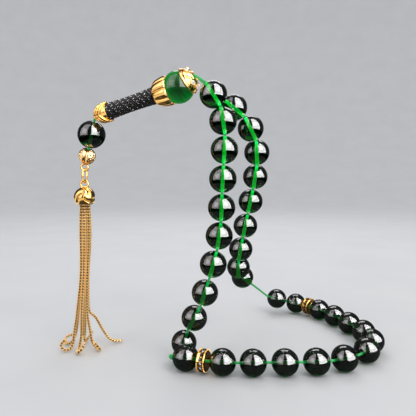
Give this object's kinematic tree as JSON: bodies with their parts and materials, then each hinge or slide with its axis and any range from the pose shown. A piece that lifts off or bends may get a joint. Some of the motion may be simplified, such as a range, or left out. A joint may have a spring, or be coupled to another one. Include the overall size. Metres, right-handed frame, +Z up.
{
  "type": "prayer bead strand",
  "caption": "Strand of drilled round beads on a green elastic cord, with ring dividers, crowned head bead, knit-sleeved end piece, drop bead and chain tassel.",
  "frame": {"origin": "bottom centre of the box round the whole draped strand, on the table plane", "axes": "+X to the viewer's right along the longest extent, +Y away from the viewer, +Z up"},
  "size_m": [0.1364, 0.0864, 0.1135],
  "materials": {
    "cord": "satin braided elastic",
    "bead_green": "polished, near black green translucent resin",
    "head_green": "polished, brighter green translucent resin",
    "gold": "polished gold plate",
    "gold_chain": "diamond-cut gold plate",
    "crystal": "facetted clear stone",
    "dark_stone": "facetted dark stone",
    "sleeve": "black knit with a silver thread",
    "tube": "plain tube"
  },
  "bodies": {
    "strand": {"cord": "cord"},
    "bead_01": {"bead_01": "bead_green"},
    "bead_02": {"bead_02": "bead_green"},
    "bead_03": {"bead_03": "bead_green"},
    "bead_04": {"bead_04": "bead_green"},
    "bead_05": {"bead_05": "bead_green"},
    "bead_06": {"bead_06": "bead_green"},
    "bead_07": {"bead_07": "bead_green"},
    "bead_08": {"bead_08": "bead_green"},
    "bead_09": {"bead_09": "bead_green"},
    "bead_10": {"bead_10": "bead_green"},
    "bead_11": {"bead_11": "bead_green"},
    "bead_12": {"bead_12": "bead_green"},
    "bead_13": {"bead_13": "bead_green"},
    "bead_14": {"bead_14": "bead_green"},
    "bead_15": {"bead_15": "bead_green"},
    "bead_16": {"bead_16": "bead_green"},
    "bead_17": {"bead_17": "bead_green"},
    "bead_18": {"bead_18": "bead_green"},
    "bead_19": {"bead_19": "bead_green"},
    "bead_20": {"bead_20": "bead_green"},
    "bead_21": {"bead_21": "bead_green"},
    "bead_22": {"bead_22": "bead_green"},
    "bead_23": {"bead_23": "bead_green"},
    "bead_24": {"bead_24": "bead_green"},
    "bead_25": {"bead_25": "bead_green"},
    "bead_26": {"bead_26": "bead_green"},
    "bead_27": {"bead_27": "bead_green"},
    "bead_28": {"bead_28": "bead_green"},
    "bead_29": {"bead_29": "bead_green"},
    "bead_30": {"bead_30": "bead_green"},
    "bead_31": {"bead_31": "bead_green"},
    "bead_32": {"bead_32": "bead_green"},
    "bead_33": {"bead_33": "bead_green"},
    "divider_1": {"divider_1": "gold", "divider_1_stones": "dark_stone"},
    "divider_2": {"divider_2": "gold", "divider_2_stones": "dark_stone"},
    "head_bead": {"head_bead": "head_green"},
    "crown": {"crown_cap": "gold", "crown_crystals": "crystal"},
    "imame": {"tulip_cap": "gold", "core_tube": "tube", "braided_sleeve": "sleeve", "chevron_cap": "gold"},
    "drop_bead": {"drop_bead": "bead_green"},
    "clamshell": {"clamshell_left": "gold", "clamshell_right": "gold"},
    "oval_link": {"oval_link": "gold"},
    "tassel": {"tassel_cap": "gold", "chain_plate": "gold", "chain_7": "gold_chain"},
    "chain_1": {"chain_1": "gold_chain"},
    "chain_2": {"chain_2": "gold_chain"},
    "chain_3": {"chain_3": "gold_chain"},
    "chain_4": {"chain_4": "gold_chain"},
    "chain_5": {"chain_5": "gold_chain"},
    "chain_6": {"chain_6": "gold_chain"}
  },
  "joints": [
    {"name": "cap_swing", "type": "hinge", "parent": "oval_link", "child": "tassel", "pos_m": [-0.05615, -0.01138, 0.07139], "axis": [-0.8192, 0.5736, 0], "range_deg": [-18, 18]},
    {"name": "link_swing", "type": "hinge", "parent": "clamshell", "child": "oval_link", "pos_m": [-0.05594, -0.01138, 0.0766], "axis": [0, 1, 0], "range_deg": [-20, 35]},
    {"name": "clamshell_swivel", "type": "hinge", "parent": "strand", "child": "clamshell", "pos_m": [-0.05487, -0.01138, 0.08123], "axis": [0.225, 0, 0.9744], "continuous": true},
    {"name": "free_bead_slide", "type": "slide", "parent": "strand", "child": "bead_25", "axis": [0.41, 0.793, -0.4507], "range_m": [0, 0.031]},
    {"name": "chain_1_swing", "type": "hinge", "parent": "tassel", "child": "chain_1", "pos_m": [-0.05474, -0.01057, 0.0634], "axis": [0.5, -0.866, 0], "range_deg": [0, 10]},
    {"name": "chain_2_swing", "type": "hinge", "parent": "tassel", "child": "chain_2", "pos_m": [-0.05615, -0.00976, 0.0634], "axis": [1, 0, 0], "range_deg": [0, 10]},
    {"name": "chain_3_swing", "type": "hinge", "parent": "tassel", "child": "chain_3", "pos_m": [-0.05755, -0.01057, 0.0634], "axis": [0.5, 0.866, 0], "range_deg": [0, 10]},
    {"name": "chain_4_swing", "type": "hinge", "parent": "tassel", "child": "chain_4", "pos_m": [-0.05755, -0.01219, 0.0634], "axis": [-0.5, 0.866, 0], "range_deg": [0, 10]},
    {"name": "chain_5_swing", "type": "hinge", "parent": "tassel", "child": "chain_5", "pos_m": [-0.05615, -0.013, 0.0634], "axis": [-1, 0, 0], "range_deg": [0, 10]},
    {"name": "chain_6_swing", "type": "hinge", "parent": "tassel", "child": "chain_6", "pos_m": [-0.05474, -0.01219, 0.0634], "axis": [-0.5, -0.866, 0], "range_deg": [0, 10]},
    {"name": "imame_spin", "type": "hinge", "parent": "strand", "child": "imame", "pos_m": [-0.01605, -0.02688, 0.1063], "axis": [-0.8955, 0.3819, -0.2284], "continuous": true},
    {"name": "head_bead_spin", "type": "hinge", "parent": "strand", "child": "head_bead", "pos_m": [-0.01605, -0.02688, 0.1063], "axis": [0.82, -0.2961, 0.4897], "continuous": true},
    {"name": "crown_spin", "type": "hinge", "parent": "strand", "child": "crown", "pos_m": [-0.01605, -0.02688, 0.1063], "axis": [0.82, -0.2961, 0.4897], "continuous": true},
    {"name": "drop_bead_spin", "type": "hinge", "parent": "strand", "child": "drop_bead", "pos_m": [-0.05285, -0.01138, 0.09], "axis": [0.225, 0, 0.9744], "continuous": true},
    {"name": "divider_1_spin", "type": "hinge", "parent": "strand", "child": "divider_1", "pos_m": [-0.00674, -0.03613, 0.005], "axis": [0.928, -0.3726, 0], "continuous": true},
    {"name": "divider_2_spin", "type": "hinge", "parent": "strand", "child": "divider_2", "pos_m": [0.04761, 0.03394, 0.005], "axis": [-0.6335, 0.7737, 0], "continuous": true},
    {"name": "spin_bead_01", "type": "hinge", "parent": "strand", "child": "bead_01", "pos_m": [-0.00312, -0.03381, 0.10242], "axis": [0.5218, -0.1586, -0.8382], "continuous": true},
    {"name": "spin_bead_02", "type": "hinge", "parent": "strand", "child": "bead_02", "pos_m": [0.00038, -0.03484, 0.09288], "axis": [0.1474, -0.0391, -0.9883], "continuous": true},
    {"name": "spin_bead_03", "type": "hinge", "parent": "strand", "child": "bead_03", "pos_m": [0.00088, -0.03493, 0.0825], "axis": [-0.0514, 0.0223, -0.9984], "continuous": true},
    {"name": "spin_bead_04", "type": "hinge", "parent": "strand", "child": "bead_04", "pos_m": [0.00034, -0.03471, 0.07206], "axis": [-0.0516, 0.0194, -0.9985], "continuous": true},
    {"name": "spin_bead_05", "type": "hinge", "parent": "strand", "child": "bead_05", "pos_m": [-0.00008, -0.03457, 0.06162], "axis": [-0.0287, 0.0074, -0.9996], "continuous": true},
    {"name": "spin_bead_06", "type": "hinge", "parent": "strand", "child": "bead_06", "pos_m": [-0.00095, -0.03434, 0.05123], "axis": [-0.1376, 0.0375, -0.9898], "continuous": true},
    {"name": "spin_bead_07", "type": "hinge", "parent": "strand", "child": "bead_07", "pos_m": [-0.00309, -0.03324, 0.04051], "axis": [-0.2454, 0.1545, -0.957], "continuous": true},
    {"name": "spin_bead_08", "type": "hinge", "parent": "strand", "child": "bead_08", "pos_m": [-0.00622, -0.03075, 0.0291], "axis": [-0.2702, 0.2539, -0.9287], "continuous": true},
    {"name": "spin_bead_09", "type": "hinge", "parent": "strand", "child": "bead_09", "pos_m": [-0.01037, -0.02646, 0.01799], "axis": [-0.3825, 0.4204, -0.8227], "continuous": true},
    {"name": "spin_bead_10", "type": "hinge", "parent": "strand", "child": "bead_10", "pos_m": [-0.01458, -0.02347, 0.007], "axis": [-0.2948, 0.0496, -0.9543], "continuous": true},
    {"name": "spin_bead_11", "type": "hinge", "parent": "strand", "child": "bead_11", "pos_m": [-0.01346, -0.03349, 0.005], "axis": [0.9319, -0.3628, 0], "continuous": true},
    {"name": "spin_bead_12", "type": "hinge", "parent": "strand", "child": "bead_12", "pos_m": [0.0003, -0.0376, 0.005], "axis": [0.9895, -0.1443, 0], "continuous": true},
    {"name": "spin_bead_13", "type": "hinge", "parent": "strand", "child": "bead_13", "pos_m": [0.0115, -0.03818, 0.005], "axis": [0.9995, 0.033, 0], "continuous": true},
    {"name": "spin_bead_14", "type": "hinge", "parent": "strand", "child": "bead_14", "pos_m": [0.02325, -0.03788, 0.005], "axis": [0.9998, 0.0178, 0], "continuous": true},
    {"name": "spin_bead_15", "type": "hinge", "parent": "strand", "child": "bead_15", "pos_m": [0.03498, -0.03719, 0.005], "axis": [0.995, 0.0998, 0], "continuous": true},
    {"name": "spin_bead_16", "type": "hinge", "parent": "strand", "child": "bead_16", "pos_m": [0.04618, -0.03417, 0.005], "axis": [0.9103, 0.4139, 0], "continuous": true},
    {"name": "spin_bead_17", "type": "hinge", "parent": "strand", "child": "bead_17", "pos_m": [0.05725, -0.02605, 0.005], "axis": [0.674, 0.7387, 0], "continuous": true},
    {"name": "spin_bead_18", "type": "hinge", "parent": "strand", "child": "bead_18", "pos_m": [0.06282, -0.01605, 0.005], "axis": [0.2739, 0.9618, 0], "continuous": true},
    {"name": "spin_bead_19", "type": "hinge", "parent": "strand", "child": "bead_19", "pos_m": [0.06321, -0.00465, 0.005], "axis": [-0.2073, 0.9783, 0], "continuous": true},
    {"name": "spin_bead_20", "type": "hinge", "parent": "strand", "child": "bead_20", "pos_m": [0.0603, 0.00674, 0.005], "axis": [-0.2881, 0.9576, 0], "continuous": true},
    {"name": "spin_bead_21", "type": "hinge", "parent": "strand", "child": "bead_21", "pos_m": [0.05653, 0.01787, 0.005], "axis": [-0.354, 0.9352, 0], "continuous": true},
    {"name": "spin_bead_22", "type": "hinge", "parent": "strand", "child": "bead_22", "pos_m": [0.05162, 0.02794, 0.005], "axis": [-0.5263, 0.8503, 0], "continuous": true},
    {"name": "spin_bead_23", "type": "hinge", "parent": "strand", "child": "bead_23", "pos_m": [0.04161, 0.03766, 0.00551], "axis": [-0.8995, 0.4263, 0.0959], "continuous": true},
    {"name": "spin_bead_24", "type": "hinge", "parent": "strand", "child": "bead_24", "pos_m": [0.03148, 0.03818, 0.00787], "axis": [-0.9003, -0.3019, 0.3135], "continuous": true},
    {"name": "spin_bead_26", "type": "hinge", "parent": "strand", "child": "bead_26", "pos_m": [0.00839, -0.00145, 0.03288], "axis": [-0.0357, -0.705, 0.7083], "continuous": true},
    {"name": "spin_bead_27", "type": "hinge", "parent": "strand", "child": "bead_27", "pos_m": [0.00898, -0.00671, 0.0418], "axis": [0.1466, -0.2742, 0.9504], "continuous": true},
    {"name": "spin_bead_28", "type": "hinge", "parent": "strand", "child": "bead_28", "pos_m": [0.01072, -0.00897, 0.05214], "axis": [0.1762, -0.1462, 0.9734], "continuous": true},
    {"name": "spin_bead_29", "type": "hinge", "parent": "strand", "child": "bead_29", "pos_m": [0.01267, -0.01075, 0.06256], "axis": [0.1872, -0.1849, 0.9648], "continuous": true},
    {"name": "spin_bead_30", "type": "hinge", "parent": "strand", "child": "bead_30", "pos_m": [0.01426, -0.01349, 0.07279], "axis": [0.1088, -0.3259, 0.9391], "continuous": true},
    {"name": "spin_bead_31", "type": "hinge", "parent": "strand", "child": "bead_31", "pos_m": [0.01435, -0.01797, 0.08244], "axis": [-0.0925, -0.5077, 0.8565], "continuous": true},
    {"name": "spin_bead_32", "type": "hinge", "parent": "strand", "child": "bead_32", "pos_m": [0.0114, -0.02279, 0.09135], "axis": [-0.4566, -0.389, 0.8001], "continuous": true},
    {"name": "spin_bead_33", "type": "hinge", "parent": "strand", "child": "bead_33", "pos_m": [0.00475, -0.02583, 0.09887], "axis": [-0.7801, -0.1763, 0.6003], "continuous": true}
  ]
}
